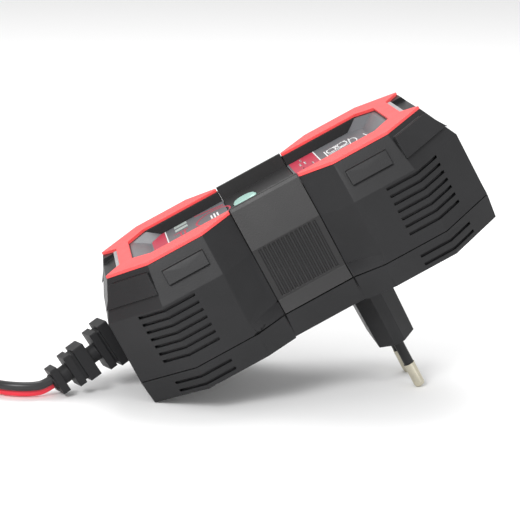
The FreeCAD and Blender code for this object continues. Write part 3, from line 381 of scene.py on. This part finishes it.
def make_tails():
    for tag, way in CLAMPS.items():
        points = [(x, COIL.y + way * y, z) for x, y, z in TAIL_ROUTE]
        curve = nurbs(f"{tag}_tail_wire", points, CORE_R)
        curve.materials.append(looks[f"lead_{tag}"])
        tail = new_piece(f"{tag}_tail_wire", curve, f"lead_{tag}", replaced=(f"{tag}_tail",))
        line = centre_line(points)
        rounded(f"{tag}_clamp_fixed_jaw", JAW_EDGE)


make_lead()
make_tails()


# ---------------------------------------------------------------- finish of the CAD nodes
def colour_nodes():
    for node, thing in frame["nodes"].items():
        for slot in thing.material_slots:
            slot.material = looks[slot_of[node]]


def make_rounded():
    for node in ("upper_housing", "lower_housing", "centre_band", "plug_block"):
        rounded(node, HOUSING_EDGE)
    for node in ("red_frame_left", "red_frame_right", "end_trim_strips"):
        rounded(node, TRIM_EDGE)
    for node in ("strain_relief", "coil_tie"):
        rounded(node, SOFT_EDGE)
    for tag in CLAMPS:
        rounded(f"{tag}_clamp_moving_jaw", JAW_EDGE, f"{tag}_clamp_jaw")


colour_nodes()
make_rounded()


# ---------------------------------------------------------------- print on the label panels
PRINT_Z = 68.8  # face of the panels in the design frame
INK = 0.06  # height of the ink above the panel
SECTOR = (-17.4, 18.2)  # y range of the printed sectors, across the panel


def plate(work, corners):
    """A thin raised plate of ink; corners are (distance from the housing's middle, y)."""
    low = [work.verts.new(TIP @ Vector((MID_X + x, y, PRINT_Z - INK))) for x, y in corners]
    top = [work.verts.new(TIP @ Vector((MID_X + x, y, PRINT_Z + INK))) for x, y in corners]
    count = len(corners)
    work.faces.new(top)
    work.faces.new(low[::-1])
    for i in range(count):
        work.faces.new((low[i], low[(i + 1) % count], top[(i + 1) % count], top[i]))


def bar(work, x0, y0, x1, y1):
    plate(work, ((x0, y0), (x1, y0), (x1, y1), (x0, y1)))


def sector(work, x0, x1):
    bar(work, x0, SECTOR[0], x1, SECTOR[1])


def stroke(work, start, end, width):
    a, b = Vector((*start, 0)), Vector((*end, 0))
    side = Vector((-(b - a).y, (b - a).x, 0)).normalized() * width / 2
    plate(work, [(v.x, v.y) for v in (a - side, b - side, b + side, a + side)])


def ring(work, centre, half_x, half_y, width, start=0, sweep=360):
    """An oval line, or a stretch of one, made of short plates."""
    x, y = centre
    steps = 36
    for i in range(steps):
        a = math.radians(start + sweep * i / steps)
        b = math.radians(start + sweep * (i + 1) / steps)
        plate(work, [(x + (half_x - inset) * math.cos(way), y + (half_y - inset) * math.sin(way))
                     for way, inset in ((a, width), (a, 0), (b, 0), (b, width))])


def crimson_marks(work):
    sector(work, -42.4, -37.0)
    sector(work, 13.9, 23.4)
    ring(work, (-18.6, 4.4), 7.0, 7.6, 0.7)
    stroke(work, (-24.8, 17.4), (-13.6, 12.6), 0.8)
    stroke(work, (-24.8, -11.0), (-14.2, -7.4), 0.8)
    for x in (-31.9, -30.3):
        bar(work, x, -5.5, x + 0.7, 5.8)
    bar(work, -34.0, 6.4, -28.6, 7.0)
    ring(work, (-31.0, -9.5), 2.2, 2.6, 0.6)


def white_marks(work):
    sector(work, -36.9, -36.5)
    sector(work, 23.5, 23.9)
    bar(work, -19.6, 1.2, -19.0, 6.6)
    bar(work, -18.4, 0.6, -17.8, 7.2)
    bar(work, -17.2, 1.2, -16.6, 6.6)
    for x, y0, y1 in ((16.8, 6.5, 11.0), (17.8, 12.0, 17.0), (18.6, 6.5, 11.0), (19.9, -4.4, 0.4),
                      (20.8, 1.2, 5.0), (16.0, -4.8, -0.6), (17.0, -1.0, 3.2), (15.6, -13.0, -9.0)):
        bar(work, x, y0, x + 0.6, y1)
    ring(work, (29.0, 6.2), 1.9, 3.2, 0.45)
    ring(work, (33.4, 6.4), 2.0, 3.6, 0.45)
    ring(work, (37.2, 3.4), 1.5, 4.4, 0.4, start=-60, sweep=230)
    for y in (1.6, 3.6, 8.8):
        stroke(work, (27.4, y), (35.2, y + 0.9), 0.5)
    stroke(work, (30.8, 9.6), (32.6, 1.8), 0.5)
    stroke(work, (35.6, -1.0), (36.4, 9.4), 0.4)
    bar(work, 26.4, 0.4, 26.8, 9.4)
    bar(work, 26.4, -8.0, 36.0, -7.5)
    stroke(work, (41.6, 5.2), (42.4, -2.6), 0.35)


def pale_marks(work):
    bar(work, -33.2, 14.8, -28.2, 18.0)
    bar(work, -33.2, 9.8, -28.2, 12.8)


def make_print():
    for ink, draw in (("crimson", crimson_marks), ("white", white_marks), ("pale", pale_marks)):
        work = bmesh.new()
        draw(work)
        bmesh.ops.recalc_face_normals(work, faces=work.faces)
        mesh = bpy.data.meshes.new(f"label_marks_{ink}")
        work.to_mesh(mesh)
        work.free()
        mesh.materials.append(inks[ink])
        new_piece(f"label_marks_{ink}", mesh, "label_print")


make_print()


# ---------------------------------------------------------------- clamp springs
SPRING_MIDDLE = Vector((-259.2, 19.5, 7.0))  # of the red clamp's spring
SPRING_TURNS = 6.5
TURN_STEPS = 12
SPRING_HALF = 8.1  # half the length of the spring
SPRING_REACH = 3.1  # from the axis to the middle of the wire
SPRING_WIRE = 0.45  # radius of the wire


def spring_points(middle, way):
    """A helix along y, from the moving handle to the fixed one."""
    steps = int(SPRING_TURNS * TURN_STEPS)
    points = []
    for i in range(steps + 1):
        around = math.radians(360 / TURN_STEPS * i)
        along = way * (SPRING_HALF - 2 * SPRING_HALF * i / steps)
        points.append((middle.x + SPRING_REACH * math.cos(around), middle.y + along,
                       middle.z + SPRING_REACH * math.sin(around)))
    return points


def make_springs():
    """Coiled wire between the handles of each clamp."""
    for tag, way in CLAMPS.items():
        middle = Vector((SPRING_MIDDLE.x, COIL.y + way * SPRING_MIDDLE.y, SPRING_MIDDLE.z))
        name = f"{tag}_spring_coil"
        mesh = curve_mesh(nurbs("wire", spring_points(middle, way), SPRING_WIRE))
        mesh.name = name
        mesh.materials.append(looks["spring_steel"])
        spring = bpy.data.objects.new(name, mesh)
        scene.collection.objects.link(spring)
        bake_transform(spring)
        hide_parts(f"{tag}_clamp_spring")


make_springs()


# ---------------------------------------------------------------- stage
def make_stage():
    floor_mesh = bpy.data.meshes.new("floor")
    half = 6.0
    floor_mesh.from_pydata([(-half, -half, 0), (half, -half, 0), (half, half, 0), (-half, half, 0)],
                           [], [(0, 1, 2, 3)])
    floor = bpy.data.objects.new("floor", floor_mesh)
    scene.collection.objects.link(floor)
    pale = (0.93, 0.93, 0.93)
    floor_mesh.materials.append(plastic("pale_floor", pale, rough=0.8, bump=0.0, vary=0.0))
    world = bpy.data.worlds.new("studio")
    scene.world = world
    world.use_nodes = True
    sky = world.node_tree.nodes["Background"]
    sky.inputs["Color"].default_value = (1, 1, 1, 1)
    sky.inputs["Strength"].default_value = 0.8
    scene.view_settings.view_transform = "Standard"


LIT_SPOT = Vector((0, 0, 0.04))  # what the lights point at, in metres


def area_light(name, place, width, power):
    light = bpy.data.lights.new(name, "AREA")
    light.size = width
    light.energy = power
    lamp = bpy.data.objects.new(name, light)
    scene.collection.objects.link(lamp)
    lamp.location = place
    lamp.rotation_euler = (LIT_SPOT - Vector(place)).to_track_quat("-Z", "Y").to_euler()


make_stage()
area_light("key", (-0.7, -1.1, 1.0), 0.5, 16)
area_light("fill", (0.9, -1.0, 0.6), 0.7, 2)
area_light("top", (0.1, 0.5, 1.3), 0.8, 8)
